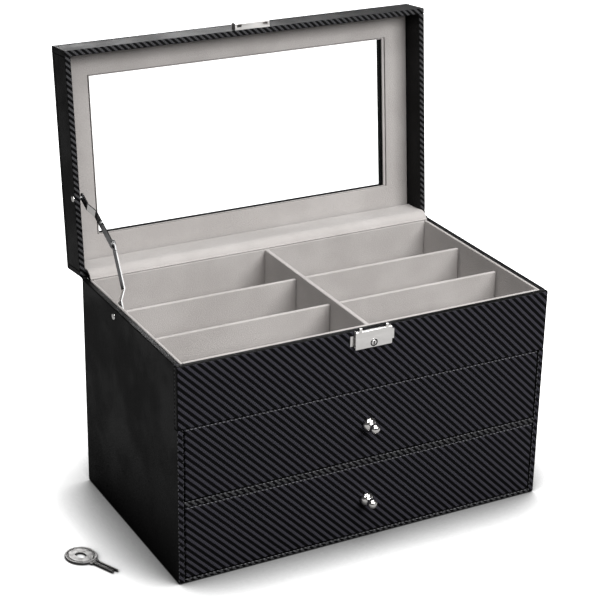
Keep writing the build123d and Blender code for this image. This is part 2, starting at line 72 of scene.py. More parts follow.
back = Vector((
    sin(CAMERA_AZIMUTH) * cos(CAMERA_HEIGHT),
    -cos(CAMERA_AZIMUTH) * cos(CAMERA_HEIGHT),
    sin(CAMERA_HEIGHT),
))
level_right = (-back).cross(Vector((0, 0, 1))).normalized()
level_up = level_right.cross(-back)
right = cos(CAMERA_ROLL) * level_right + sin(CAMERA_ROLL) * level_up
up = cos(CAMERA_ROLL) * level_up - sin(CAMERA_ROLL) * level_right
camera_turn = Matrix((right, up, back)).transposed().to_4x4()

camera = bpy.data.objects.new("camera", bpy.data.cameras.new("camera"))
bpy.context.scene.collection.objects.link(camera)
camera.data.lens = LENS
camera.matrix_world = Matrix.Translation(CAMERA_PLACE) @ camera_turn
bpy.context.scene.camera = camera
print("camera looks along", tuple(round(c, 3) for c in -back))


# %% [markdown]
# ## The light
# Black leather shows a small lamp as a hot spot, so the lights are wide and soft. One hangs above
# the box. The main one stands in front on the right and a weak one on the left, and one behind
# gives the top of the open lid its shine. The room round them is nearly dark, so that black stays
# black, although it looks pale to the camera.

# %% Lights
def soft_light(name, place, target, size, watts):
    """A rectangular area light at a place, turned to its target."""
    light = bpy.data.lights.new(name, "AREA")
    light.shape = "RECTANGLE"
    light.size, light.size_y = size
    light.energy = watts
    lamp = bpy.data.objects.new(name, light)
    aim = (Vector(target) - Vector(place)).to_track_quat("-Z", "Y")
    lamp.matrix_world = Matrix.Translation(place) @ aim.to_matrix().to_4x4()
    bpy.context.scene.collection.objects.link(lamp)
    return lamp


soft_light("top_light", (0, -0.2, 1.7), (0, 0, 0.1), size=(1.3, 1.0), watts=23)
soft_light("front_light", (0.7, -1.7, 1.35), (0, 0, 0.25), size=(1.3, 0.9), watts=52)
soft_light("left_light", (-0.9, -1.3, 1.45), (0, 0, 0.2), size=(0.8, 0.7), watts=7)
soft_light("back_light", (0.35, 1.5, 1.02), (0, 0.1, 0.35), size=(0.6, 0.4), watts=12)

ROOM_LIGHT, ROOM_SHOWN = 0.08, 0.95      # what lights the box, and what the camera sees
room = bpy.data.worlds.new("studio")
bpy.context.scene.world = room
room.use_nodes = True
room_nodes, room_links = room.node_tree.nodes, room.node_tree.links
background = room_nodes["Background"]
background.inputs["Color"].default_value = (1, 1, 1, 1)
path = room_nodes.new("ShaderNodeLightPath")
brightness = room_nodes.new("ShaderNodeMapRange")
brightness.inputs["To Min"].default_value = ROOM_LIGHT
brightness.inputs["To Max"].default_value = ROOM_SHOWN
room_links.new(path.outputs["Is Camera Ray"], brightness.inputs["Value"])
room_links.new(brightness.outputs["Result"], background.inputs["Strength"])
bpy.context.scene.view_settings.view_transform = "Standard"

# %% [markdown]
# ## The floor
# One large plane, wide enough to fill the view behind the box. Its pale finish comes with the
# other materials.

# %% Floor
FLOOR_WIDTH, FLOOR_BACK = 24, 4          # most of it lies behind the box
bpy.ops.mesh.primitive_plane_add(size=FLOOR_WIDTH, location=(0, FLOOR_BACK, 0))
floor = bpy.context.object
floor.name = "floor"
print("floor is", floor.dimensions.x, "m wide")

# %% [markdown]
# ## Finishes
# Each finish is a material of nodes on Object coordinates, in metres, so a pattern has the same
# real size on every piece. What several finishes share is a node group that gives out masks and
# heights: a fine grain, the diagonal ribs, and the short nap of velvet.

# %% Small helpers for node trees
def place_nodes(tree, *kinds):
    """Add nodes of these kinds to a tree and return them."""
    return [tree.nodes.new(kind) for kind in kinds]


def new_group(name, inputs, outputs):
    """A node group with float inputs (name, default) and outputs (name, socket type)."""
    group = bpy.data.node_groups.new(name, "ShaderNodeTree")
    for label, value in inputs:
        socket = group.interface.new_socket(label, in_out="INPUT", socket_type="NodeSocketFloat")
        socket.default_value = value
    for label, kind in outputs:
        group.interface.new_socket(label, in_out="OUTPUT", socket_type=kind)
    start, end = place_nodes(group, "NodeGroupInput", "NodeGroupOutput")
    return group, start, end


def math_node(tree, operation, first, second=None, third=None):
    """A Math node whose inputs are sockets or numbers. Returns its output."""
    node = tree.nodes.new("ShaderNodeMath")
    node.operation = operation
    for socket, value in zip(node.inputs, (first, second, third)):
        if value is None:
            continue
        if isinstance(value, (int, float)):
            socket.default_value = value
        else:
            tree.links.new(value, socket)
    return node.outputs[0]


def remap(tree, value, low, high, to_low, to_high, smooth=True):
    """A Map Range node, smooth or straight. Returns its output."""
    node = tree.nodes.new("ShaderNodeMapRange")
    node.interpolation_type = "SMOOTHSTEP" if smooth else "LINEAR"
    tree.links.new(value, node.inputs["Value"])
    ends = {"From Min": low, "From Max": high, "To Min": to_low, "To Max": to_high}
    for name, number in ends.items():
        if isinstance(number, (int, float)):
            node.inputs[name].default_value = number
        else:
            tree.links.new(number, node.inputs[name])
    return node.outputs["Result"]


def mix_colours(tree, mask, low, high):
    """Mix two colours by a mask. Returns the colour output."""
    node = tree.nodes.new("ShaderNodeMix")
    node.data_type = "RGBA"
    tree.links.new(mask, node.inputs["Factor"])
    node.inputs["A"].default_value = (*low, 1)
    node.inputs["B"].default_value = (*high, 1)
    return node.outputs["Result"]


def dot_product(tree, vector, direction):
    """How far a point lies along a direction."""
    node = tree.nodes.new("ShaderNodeVectorMath")
    node.operation = "DOT_PRODUCT"
    tree.links.new(vector, node.inputs[0])
    node.inputs[1].default_value = direction
    return node.outputs["Value"]


print("node helpers ready")

# %% [markdown]
# ### Grain and wear, shared by the leathers
# Imitation leather has a fine pebble that a printed roller gives it, and broad, faint changes of
# gloss. A Voronoi cell pattern makes the pebble, and noise at a few centimetres makes the rest.

# %% The grain group
grain_group, inside, outside = new_group(
    "leather_grain",
    [("Cell Size", 0.0009), ("Patch Size", 0.05)],
    [("Height", "NodeSocketFloat"), ("Patches", "NodeSocketFloat")],
)
(place,) = place_nodes(grain_group, "ShaderNodeTexCoord")
cells, patches = place_nodes(grain_group, "ShaderNodeTexVoronoi", "ShaderNodeTexNoise")
cells.feature = "SMOOTH_F1"
cells.inputs["Smoothness"].default_value = 0.4
for node, label in ((cells, "Cell Size"), (patches, "Patch Size")):
    grain_group.links.new(place.outputs["Object"], node.inputs["Vector"])
    scale = math_node(grain_group, "DIVIDE", 1.0, inside.outputs[label])
    grain_group.links.new(scale, node.inputs["Scale"])
patches.inputs["Detail"].default_value = 4
pebble = remap(grain_group, cells.outputs["Distance"], 0.1, 0.8, 1, 0)
gloss_patches = remap(grain_group, patches.outputs["Fac"], 0.3, 0.7, 0, 1)
grain_group.links.new(pebble, outside.inputs["Height"])
grain_group.links.new(gloss_patches, outside.inputs["Patches"])
print("made", grain_group.name)

# %% [markdown]
# ### Diagonal ribs
# The leather on the fronts and on every rim is embossed with ribs at 45 degrees. Adding the three
# coordinates gives lines at 45 degrees on every face that is square to the box, and they run
# round its edges as the wrapped leather does. A finer wave along each rib is its thread.

# %% The rib group
RIB_PITCH = 0.00672                      # along an edge of the box, so 4.75 mm across the ribs
THREAD_PITCH = 0.0026
RIB_STRAY = 0.00045                      # no rib is quite straight
THREAD_LOW = 0.6                         # height of a rib between two of its threads
rib_group, inside, outside = new_group(
    "diagonal_ribs",
    [("Pitch", RIB_PITCH), ("Thread Pitch", THREAD_PITCH)],
    [("Height", "NodeSocketFloat")],
)
place, wander = place_nodes(rib_group, "ShaderNodeTexCoord", "ShaderNodeTexNoise")
rib_group.links.new(place.outputs["Object"], wander.inputs["Vector"])
wander.inputs["Scale"].default_value = 60
across = dot_product(rib_group, place.outputs["Object"], (1, 1, 1))
along = dot_product(rib_group, place.outputs["Object"], (1, -1, -1))
wobble = math_node(rib_group, "MULTIPLY", wander.outputs["Fac"], RIB_STRAY)
across = math_node(rib_group, "ADD", across, wobble)
turns = math_node(rib_group, "DIVIDE", across, inside.outputs["Pitch"])
wave = math_node(rib_group, "SINE", math_node(rib_group, "MULTIPLY", turns, 2 * pi))
ridge = remap(rib_group, wave, -0.3, 0.5, 0, 1)
thread_turns = math_node(rib_group, "DIVIDE", along, inside.outputs["Thread Pitch"])
slant = math_node(rib_group, "ADD", thread_turns, math_node(rib_group, "MULTIPLY", turns, 0.5))
thread = math_node(rib_group, "SINE", math_node(rib_group, "MULTIPLY", slant, 2 * pi))
thread = remap(rib_group, thread, -1, 1, THREAD_LOW, 1)
rib_group.links.new(math_node(rib_group, "MULTIPLY", ridge, thread), outside.inputs["Height"])
print("made", rib_group.name)

# %% [markdown]
# ### Velvet nap
# The lining is flocked: short fibres stand in glue on card. Up close it has tiny specks, and a
# hand or a fold leaves wide soft patches where the fibres lean another way.

# %% The nap group
nap_group, inside, outside = new_group(
    "velvet_nap",
    [("Speck Size", 0.0007), ("Patch Size", 0.045)],
    [("Height", "NodeSocketFloat"), ("Patches", "NodeSocketFloat")],
)
place, specks, patches = place_nodes(
    nap_group, "ShaderNodeTexCoord", "ShaderNodeTexNoise", "ShaderNodeTexNoise"
)
for node, label in ((specks, "Speck Size"), (patches, "Patch Size")):
    nap_group.links.new(place.outputs["Object"], node.inputs["Vector"])
    scale = math_node(nap_group, "DIVIDE", 1.0, inside.outputs[label])
    nap_group.links.new(scale, node.inputs["Scale"])
specks.inputs["Detail"].default_value = 2
patches.inputs["Detail"].default_value = 3
fibres = remap(nap_group, specks.outputs["Fac"], 0.25, 0.75, 0, 1)
lean = remap(nap_group, patches.outputs["Fac"], 0.3, 0.7, 0, 1)
nap_group.links.new(fibres, outside.inputs["Height"])
nap_group.links.new(lean, outside.inputs["Patches"])
print("made", nap_group.name)


# %% [markdown]
# ### Starting a material
# Every finish starts from one Principled shader. What is the same all over is set on the shader's
# own sockets, and only what changes over the surface is fed by nodes.

# %% A new material with its shader
def new_material(name, roughness, metallic=0.0, **constants):
    """A material with one Principled shader. Constants are set on the shader's own sockets."""
    material = bpy.data.materials.new(name)
    material.use_nodes = True
    tree = material.node_tree
    shader = tree.nodes["Principled BSDF"]
    shader.inputs["Roughness"].default_value = roughness
    shader.inputs["Metallic"].default_value = metallic
    for label, value in constants.items():
        shader.inputs[label.replace("_", " ")].default_value = value
    return material, tree, shader


def use_group(tree, group, **values):
    """Place a node group in a material with its own input values."""
    node = tree.nodes.new("ShaderNodeGroup")
    node.node_tree = group
    for label, value in values.items():
        node.inputs[label.replace("_", " ")].default_value = value
    return node


def add_bump(tree, shader, height, depth):
    """Feed a height, with its depth in metres, to the shader's normal."""
    bump = tree.nodes.new("ShaderNodeBump")
    bump.inputs["Strength"].default_value = 1.0
    bump.inputs["Distance"].default_value = depth
    tree.links.new(height, bump.inputs["Height"])
    tree.links.new(bump.outputs["Normal"], shader.inputs["Normal"])


print("material helpers ready")

# %% [markdown]
# ### The leathers
# The smooth leather of the sides is nearly black with a soft gloss. The ribbed leather is lighter
# and bluer on top of its ribs, and painted black between them as the shade that falls there. The
# rims have narrower ribs, and the folded edges are painted paler, as a highlight where they catch
# the light.

# %% Smooth and ribbed leather
smooth_leather, tree, shader = new_material("side_leather", 0.5, Specular_IOR_Level=0.11)
grain = use_group(tree, grain_group, Cell_Size=0.0012, Patch_Size=0.05)
patches = grain.outputs["Patches"]
colour = mix_colours(tree, patches, (0.0008, 0.0008, 0.0009), (0.0026, 0.0025, 0.0026))
tree.links.new(colour, shader.inputs["Base Color"])
tree.links.new(remap(tree, patches, 0, 1, 0.42, 0.6), shader.inputs["Roughness"])
add_bump(tree, shader, grain.outputs["Height"], depth=0.00013)

GRAIN_ON_RIBS = 0.05                     # height of the grain as a share of a rib's


def ribbed_material(name, gap, crest, pitch):
    """Ribbed leather between the colour of its gaps, painted dark as shade, and that of its crests.
    """
    material, tree, shader = new_material(name, 0.45, Specular_IOR_Level=0.08)
    ribs = use_group(tree, rib_group, Pitch=pitch)
    grain = use_group(tree, grain_group, Cell_Size=0.0006, Patch_Size=0.05)
    height = ribs.outputs["Height"]
    # The gaps between the ribs are painted dark as shade.
    tree.links.new(mix_colours(tree, height, gap, crest), shader.inputs["Base Color"])
    tree.links.new(remap(tree, height, 0, 1, 0.8, 0.44), shader.inputs["Roughness"])
    fine = math_node(tree, "MULTIPLY", grain.outputs["Height"], GRAIN_ON_RIBS)
    add_bump(tree, shader, math_node(tree, "ADD", height, fine), depth=0.0005)
    return material


ribbed_leather = ribbed_material(
    "ribbed_leather", gap=(0.0004, 0.0004, 0.0007), crest=(0.044, 0.0425, 0.053), pitch=RIB_PITCH
)
rim_leather = ribbed_material(
    "rim_leather", gap=(0.0006, 0.0006, 0.0008), crest=(0.06, 0.06, 0.063), pitch=0.0056
)
# A painted highlight: much paler ribbed leather for the folded edges where they catch the light.
painted_edge_highlight = ribbed_material(
    "painted_edge_highlight", gap=(0.014, 0.014, 0.015), crest=(0.16, 0.16, 0.168), pitch=0.0034
)
print("leathers:", smooth_leather.name, ribbed_leather.name, rim_leather.name, painted_edge_highlight.name)

# %% [markdown]
# ### Velvet
# Velvet is dull, and brighter where one looks along it, because the fibre tips catch the light.
# The sheen socket of the shader gives that. The nap group gives it two shades and a fine relief.
# Felt is the same kind of cloth, nearly black.

# %% Velvet and felt
LEAN_SHARE, FIBRE_SHARE = 0.6, 0.4       # what the shade comes from


def nap_material(name, dark, light, sheen, depth):
    """A napped cloth between two shades."""
    material, tree, shader = new_material(name, 0.92, Sheen_Weight=sheen, Sheen_Roughness=0.45)
    shader.inputs["Specular IOR Level"].default_value = 0.15
    nap = use_group(tree, nap_group)
    lean = math_node(tree, "MULTIPLY", nap.outputs["Patches"], LEAN_SHARE)
    fibres = math_node(tree, "MULTIPLY", nap.outputs["Height"], FIBRE_SHARE)
    shade = math_node(tree, "ADD", lean, fibres)
    tree.links.new(mix_colours(tree, shade, dark, light), shader.inputs["Base Color"])
    add_bump(tree, shader, nap.outputs["Height"], depth)
    return material


velvet = nap_material(
    "lining_velvet", dark=(0.345, 0.325, 0.313), light=(0.43, 0.408, 0.396), sheen=0.2, depth=0.00018
)
felt = nap_material(
    "black_felt", dark=(0.008, 0.008, 0.008), light=(0.02, 0.02, 0.02), sheen=0.1, depth=0.0003
)
print("cloths:", velvet.name, felt.name)


# %% [markdown]
# ### Metals
# The pulls are bright nickel, the lock is satin, and the key is darker. The stay is nickel too,
# but darker copies of it are painted on the faces of its arms and on two of its rivets as shade.
# Plating is never quite even, so the roughness changes a little over fine rolling marks. The bare
# steel of the hinges and small parts has long marks, so its pattern is stretched along the box.

# %% Plated and bare metal
def metal_material(name, colour, smooth, rough, marks_per_metre):
    """A metal whose roughness changes over rolling marks, this many a metre along each axis."""
    material, tree, shader = new_material(name, smooth, metallic=1.0)
    shader.inputs["Base Color"].default_value = (*colour, 1)
    place, mapping, marks = place_nodes(
        tree, "ShaderNodeTexCoord", "ShaderNodeMapping", "ShaderNodeTexNoise"
    )
    mapping.inputs["Scale"].default_value = marks_per_metre
    marks.inputs["Scale"].default_value = 1
    marks.inputs["Detail"].default_value = 1
    tree.links.new(place.outputs["Object"], mapping.inputs["Vector"])
    tree.links.new(mapping.outputs["Vector"], marks.inputs["Vector"])
    roughness = remap(tree, marks.outputs["Fac"], 0.3, 0.7, smooth, rough)
    tree.links.new(roughness, shader.inputs["Roughness"])
    add_bump(tree, shader, marks.outputs["Fac"], depth=0.000003)
    return material


nickel = metal_material(
    "nickel_plate", (0.86, 0.84, 0.82), smooth=0.07, rough=0.16, marks_per_metre=(300, 300, 300)
)
satin_nickel = metal_material(
    "satin_nickel", (0.9, 0.88, 0.86), smooth=0.3, rough=0.4, marks_per_metre=(60, 400, 400)
)
# Darker copies of the nickel, painted on the stay's arms and rivets as shade.
nickel_painted_shade = metal_material(
    "nickel_painted_shade", (0.2, 0.2, 0.205), smooth=0.14, rough=0.24, marks_per_metre=(200, 200, 200)
)
nickel_painted_half_shade = metal_material(
    "nickel_painted_half_shade", (0.1, 0.1, 0.1), smooth=0.22, rough=0.3, marks_per_metre=(200, 200, 200)
)
key_nickel = metal_material(
    "key_nickel", (0.13, 0.127, 0.125), smooth=0.34, rough=0.44, marks_per_metre=(300, 300, 300)
)
steel = metal_material(
    "bare_steel", (0.55, 0.55, 0.57), smooth=0.28, rough=0.42, marks_per_metre=(200, 1200, 1200)
)
print("metals:", len([m for m in bpy.data.materials if "nickel" in m.name]) + 1)

# %% [markdown]
# ### Pane, board and floor
# The pane is thin and clear, so its material is nearly all alpha: it hides little when one looks
# straight through it, and more at a flat angle, where the Fresnel reflection grows. Bare board
# shows only under the tray, in the drawers' opening. The floor is pale to the camera but sends
# little light back, as a small white sweep in a dark room does, and an ambient occlusion node
# paints a soft shadow on it near whatever stands on it.

# %% Pane, board, floor
pane_clear, tree, shader = new_material("clear_pane", 0.02)
shader.inputs["Base Color"].default_value = (0.04, 0.045, 0.045, 1)
smear, fresnel, place = place_nodes(
    tree, "ShaderNodeTexNoise", "ShaderNodeFresnel", "ShaderNodeTexCoord"
)
smear.inputs["Scale"].default_value = 18
fresnel.inputs["IOR"].default_value = 1.5
tree.links.new(place.outputs["Object"], smear.inputs["Vector"])
tree.links.new(remap(tree, smear.outputs["Fac"], 0.3, 0.7, 0.01, 0.05), shader.inputs["Roughness"])
LEAST_VEIL, FRESNEL_VEIL = 0.02, 0.7
veil = math_node(tree, "MULTIPLY_ADD", fresnel.outputs["Fac"], FRESNEL_VEIL, LEAST_VEIL)
tree.links.new(veil, shader.inputs["Alpha"])

painted_board, tree, shader = new_material("painted_board", 0.7, Specular_IOR_Level=0.2)
grain = use_group(tree, grain_group, Cell_Size=0.0012, Patch_Size=0.02)
colour = mix_colours(tree, grain.outputs["Patches"], (0.016, 0.015, 0.014), (0.026, 0.024, 0.022))
tree.links.new(colour, shader.inputs["Base Color"])
add_bump(tree, shader, grain.outputs["Height"], depth=0.0001)

BOUNCE, MORE_IN_GLOSS, MORE_TO_CAMERA, GLOW = 0.12, 0.2, 0.81, 0.9
# An ambient occlusion node paints a soft shadow on the floor near what stands on it.
SHADE_REACH, SHADE_POWER = 0.08, 2.9
pale_floor, tree, shader = new_material("pale_floor", 0.9, Specular_IOR_Level=0.0)
path, corner = place_nodes(tree, "ShaderNodeLightPath", "ShaderNodeAmbientOcclusion")
corner.inputs["Distance"].default_value = SHADE_REACH
corner.samples = 16
painted_shadow_factor = math_node(tree, "POWER", corner.outputs["AO"], SHADE_POWER)
shine = math_node(tree, "MULTIPLY_ADD", path.outputs["Is Glossy Ray"], MORE_IN_GLOSS, BOUNCE)
whiteness = math_node(
    tree, "MULTIPLY_ADD", path.outputs["Is Camera Ray"], MORE_TO_CAMERA, shine
)
tree.links.new(math_node(tree, "MULTIPLY", whiteness, painted_shadow_factor), shader.inputs["Base Color"])
glow = math_node(tree, "MULTIPLY", path.outputs["Is Camera Ray"], GLOW)
tree.links.new(math_node(tree, "MULTIPLY", glow, painted_shadow_factor), shader.inputs["Emission Color"])
shader.inputs["Emission Strength"].default_value = 1
floor.data.materials.append(pale_floor)
print("materials:", len(bpy.data.materials))

# %% [markdown]
# ## Modelling tools
# Every board starts as a cube primitive that fills the CAD board's box, and is then shaped in
# edit mode. Faces are picked in code, by where they are and which way they look.

# %% Selecting and starting a piece
MM = 0.001


def take(piece):
    """Select just one piece and make it active, in object mode."""
    if bpy.context.object and bpy.context.object.mode != "OBJECT":
        bpy.ops.object.mode_set(mode="OBJECT")
    bpy.ops.object.select_all(action="DESELECT")
    piece.select_set(True)
    bpy.context.view_layer.objects.active = piece


def settle(piece, name):
    """Put a new primitive's place, turn and size into its mesh, and name it."""
    take(piece)
    bpy.ops.object.transform_apply(location=True, rotation=True, scale=True)
    piece.name = name
    piece.data.name = name
    return piece


def block(name, low, high):
    """A cube primitive that fills the space between two corners."""
    low, high = Vector(low), Vector(high)
    bpy.ops.mesh.primitive_cube_add(size=1, location=(low + high) / 2)
    bpy.context.object.scale = high - low
    return settle(bpy.context.object, name)


def edit_all(piece):
    """Go to edit mode with everything selected."""
    take(piece)
    bpy.ops.object.mode_set(mode="EDIT")
    bpy.ops.mesh.select_all(action="SELECT")


def edit_faces(piece, wanted):
    """Go to edit mode with the faces selected whose centre and normal pass a test."""
    take(piece)
    bpy.ops.object.mode_set(mode="EDIT")
    bpy.ops.mesh.select_mode(type="FACE")
    bpy.ops.mesh.select_all(action="DESELECT")
    bpy.ops.object.mode_set(mode="OBJECT")
    for face in piece.data.polygons:
        face.select = wanted(face.center, face.normal)
    bpy.ops.object.mode_set(mode="EDIT")


def extrude(offset):
    """Extrude the selected faces by an offset."""
    bpy.ops.mesh.extrude_region_move(TRANSFORM_OT_translate={"value": offset})


def face_outwards():
    """Turn all faces of the mesh in edit mode outwards."""
    bpy.ops.mesh.select_all(action="SELECT")
    bpy.ops.mesh.normals_make_consistent(inside=False)


def leave_edit():
    """Go back to object mode, which writes the edits to the mesh."""
    bpy.ops.object.mode_set(mode="OBJECT")


def apply_modifier(piece, kind, **settings):
    """Add a modifier with its settings and apply it."""
    take(piece)
    modifier = piece.modifiers.new(kind.lower(), kind)
    for name, value in settings.items():
        setattr(modifier, name, value)
    bpy.ops.object.modifier_apply(modifier=modifier.name)


def soften(piece, radius, segments=3, angle=35):
    """Round the sharp edges, and keep the flat faces flat in the light."""
    apply_modifier(
        piece, "BEVEL", width=radius, segments=segments, limit_method="ANGLE",
        angle_limit=radians(angle), use_clamp_overlap=True,
    )
    take(piece)
    bpy.ops.object.shade_smooth()
    apply_modifier(piece, "WEIGHTED_NORMAL", keep_sharp=False, weight=80)


def finish(piece, body, slot, *replaced):
    """Let a piece ride on its body, and hide the CAD nodes it stands for. The slot is not used."""
    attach(piece, body)
    if replaced:
        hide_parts(*replaced)


def paint(piece, main, *others):
    """Give a piece its material, and further ones, each with a test, on the faces that pass."""
    piece.data.materials.clear()
    piece.data.materials.append(main)
    for face in piece.data.polygons:
        face.material_index = 0
    for number, (material, passes) in enumerate(others, start=1):
        piece.data.materials.append(material)
        for face in piece.data.polygons:
            if passes(face.center, face.normal):
                face.material_index = number


print("modelling tools ready")


# %% [markdown]
# ### The lid's own frame
# The lid stands open, a little past upright. Its parts are simplest to model lying closed, flat
# on the box, so each is made there and then turned about the hinge line.

# %% Opening the lid
HINGE = Vector((0, 0.09615, 0.18707))
LID_OPEN = radians(95.47)


def about_hinge(angle):
    """The matrix that turns the lid about its hinge line."""
    turn = Matrix.Rotation(angle, 4, "X")
    return Matrix.Translation(HINGE) @ turn @ Matrix.Translation(-HINGE)


def open_lid(piece):
    """Turn a piece from the closed lid to the open one."""
    piece.matrix_world = about_hinge(-LID_OPEN)
    settle(piece, piece.name)


def closed_box(node):
    """A lid node's corners as it lies when the lid is closed."""
    points = [about_hinge(LID_OPEN) @ v.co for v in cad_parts[node].data.vertices]
    low = Vector([min(p[i] for p in points) for i in range(3)])
    high = Vector([max(p[i] for p in points) for i in range(3)])
    return low, high


print("lid's front wall, closed:", closed_box("lid_front_wall"))

# %% [markdown]
# ## The case
# The side panels carry smooth leather, and ribbed leather on their front edges. Each side panel
# steps back where the full-width front of the tray begins, so its cube fills the part behind,
# and the front edge of the lower part is extruded forward.

# %% Side panels
CASE_EDGE = 0.0009                       # radius of the boards' folded edges
FRONT_EDGE = 0.0013
STRIP_EDGE = 0.0011
FRONT_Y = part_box("top_front_panel")[0].y
FRONT_BACK_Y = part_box("top_front_panel")[1].y
TIER_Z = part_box("top_front_panel")[0].z
RIM_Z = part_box("left_side_panel")[1].z


def looks(normal, axis, sign, least=0.7):
    """Whether a face looks mostly along one axis."""
    return normal[axis] * sign > least


def faces_front(c, n):
    """The front of a board."""
    return looks(n, 1, -1)


def top_corner(c, n):
    """The rounded edge between a front and its top."""
    return n.y < -0.3 and n.z > 0.3


def lower_corner(c, n):
    """The rounded edge between a front and its underside."""
    return n.y < -0.2 and n.z < -0.3


def front_corner(c, n):
    """The rounded edge between a side and its front."""
    return n.y < -0.3 and abs(n.x) > 0.3


for node in ("left_side_panel", "right_side_panel"):
    low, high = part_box(node)
    panel = block(node + "_cover", (low.x, FRONT_BACK_Y, low.z), high)
    edit_all(panel)
    bpy.ops.mesh.bisect(plane_co=(0, 0, TIER_Z), plane_no=(0, 0, 1))
    leave_edit()
    edit_faces(panel, lambda c, n: faces_front(c, n) and c.z < TIER_Z)
    extrude((0, FRONT_Y - FRONT_BACK_Y, 0))
    leave_edit()
    soften(panel, CASE_EDGE)
    # The front corners get the paler ribbed leather as a painted highlight.
    paint(panel, smooth_leather, (ribbed_leather, faces_front), (painted_edge_highlight, front_corner))
    finish(panel, "case", "smooth_leather", node)
print("side panels rise to", round(RIM_Z, 4))


# %% [markdown]
# ### The other boards
# The other boards of the case are plain. The front of the tray is ribbed all over. The shelf and
# the bottom board show only their ribbed front edges.

# %% Boards of the case
def cover_board(node, body, radius, main, *others, slot="smooth_leather"):
    """Stand a board with soft edges in a CAD board's place."""
    piece = block(node + "_cover", *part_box(node))
    soften(piece, radius)
    paint(piece, main, *others)
    finish(piece, body, slot, node)
    return piece


def plain_on_top_front(c, n):
    """The tray's front is smooth on its rim, its left end and its lower edge. The black lower edge
    is partly the folded-under leather and partly painted shade over the gap below.
    """
    return looks(n, 2, 1, 0.5) or looks(n, 0, -1) or lower_corner(c, n)


cover_board(
    "top_front_panel", "case", FRONT_EDGE, ribbed_leather, (smooth_leather, plain_on_top_front),
    slot="patterned_leather",
)
cover_board("back_panel", "case", CASE_EDGE, smooth_leather)
# Their top corners get the paler ribbed leather as a painted highlight.
for node in ("drawer_shelf", "bottom_board"):
    cover_board(
        node, "case", STRIP_EDGE, smooth_leather, (rim_leather, faces_front), (painted_edge_highlight, top_corner)
    )
print("case boards done")

# %% [markdown]
# ## The tray's lining and dividers
# Velvet-covered card lines the tray, and velvet-covered dividers stand in it. Cloth glued round
# the edge of a card leaves a full, round edge, so these edges get a wide bevel.

# %% Lining
CARD_EDGE = 0.0009
FLOOR_EDGE = 0.0006
for side in ("left", "right", "front", "back"):
    cover_board(f"tray_lining_{side}", "case", CARD_EDGE, velvet, slot="velvet")
cover_board("tray_floor_lining", "case", FLOOR_EDGE, velvet, slot="velvet")
cover_board("tray_center_divider", "case", CARD_EDGE, velvet, slot="velvet")
print("tray lining done")


# %% [markdown]
# ### Cross dividers
# The cross dividers are several loose cards in one CAD node. Its mesh is triangles that share no
# vertices, so triangles are grouped by the places of their corners. Each group is one card, and
# its box is the place for a new one.

# %% Cross dividers
GRID = 1e-5                              # two corners this close are the same place


def islands(node):
    """The boxes of a CAD node's separate solids."""
    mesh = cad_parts[node].data
    groups = {}
    links = {}

    def root(key):
        while links[key] != key:
            links[key] = links[links[key]]
            key = links[key]
        return key

    def spot(index):
        return tuple(round(c / GRID) for c in mesh.vertices[index].co)

    for face in mesh.polygons:
        spots = [spot(i) for i in face.vertices]
        for s in spots:
            links.setdefault(s, s)
        for s in spots[1:]:
            links[root(s)] = root(spots[0])
    for s in links:
        groups.setdefault(root(s), []).append(s)
    boxes = []
    for spots in groups.values():
        low = Vector([min(s[i] for s in spots) for i in range(3)]) * GRID
        high = Vector([max(s[i] for s in spots) for i in range(3)]) * GRID
        boxes.append((low, high))
    return sorted(boxes, key=lambda b: (round(b[0].y, 4), b[0].x))


def join(pieces, name):
    """Join several pieces into one object."""
    take(pieces[0])
    for piece in pieces[1:]:
        piece.select_set(True)
    bpy.ops.object.join()
    bpy.context.object.name = name
    return bpy.context.object


def cover_group(node, body, radius, material, slot):
    """Soft-edged boards in the places of all the solids of a CAD node, as one piece."""
    boards = []
    for number, (low, high) in enumerate(islands(node)):
        board = block(f"{node}_{number}", low, high)
        soften(board, radius)
        boards.append(board)
    piece = join(boards, node + "_cover")
    paint(piece, material)
    finish(piece, body, slot, node)
    return piece


cover_group("tray_cross_dividers", "case", CARD_EDGE, velvet, "velvet")
print("cross dividers:", len(islands("tray_cross_dividers")))

# %% [markdown]
# ## The drawers
# Both drawers are alike: a ribbed front, a shallow velvet-lined box, dividers like the tray's,
# and a turned pull.

# %% Drawer boxes
DRAWERS = ("upper_drawer", "lower_drawer")
DRAWER_EDGE, CENTER_EDGE, CROSS_EDGE = 0.0012, 0.0014, 0.0013
for drawer in DRAWERS:
    # The top edge of a drawer front gets the paler ribbed leather as a painted highlight.
    cover_board(
        f"{drawer}_front", drawer, FRONT_EDGE, ribbed_leather,
        # The lower edge gets the smooth black leather, partly for the folded-under leather and
        # partly as painted shade over the gap below.
        (painted_edge_highlight, top_corner), (smooth_leather, lower_corner), slot="patterned_leather",
    )
    for part in ("left_side", "right_side", "back"):
        cover_board(f"{drawer}_{part}", drawer, DRAWER_EDGE, velvet, slot="velvet")
    cover_board(f"{drawer}_floor", drawer, FLOOR_EDGE, velvet, slot="velvet")
    cover_board(f"{drawer}_center_divider", drawer, CENTER_EDGE, velvet, slot="velvet")
    cover_group(f"{drawer}_cross_dividers", drawer, CROSS_EDGE, velvet, "velvet")
print("drawers done")

# %% [markdown]
# ### Pulls
# A pull is turned on a lathe, so a half profile is drawn as a row of edges and spun. The profile
# is extruded vertex by vertex from a single point, the way it is drawn by hand.

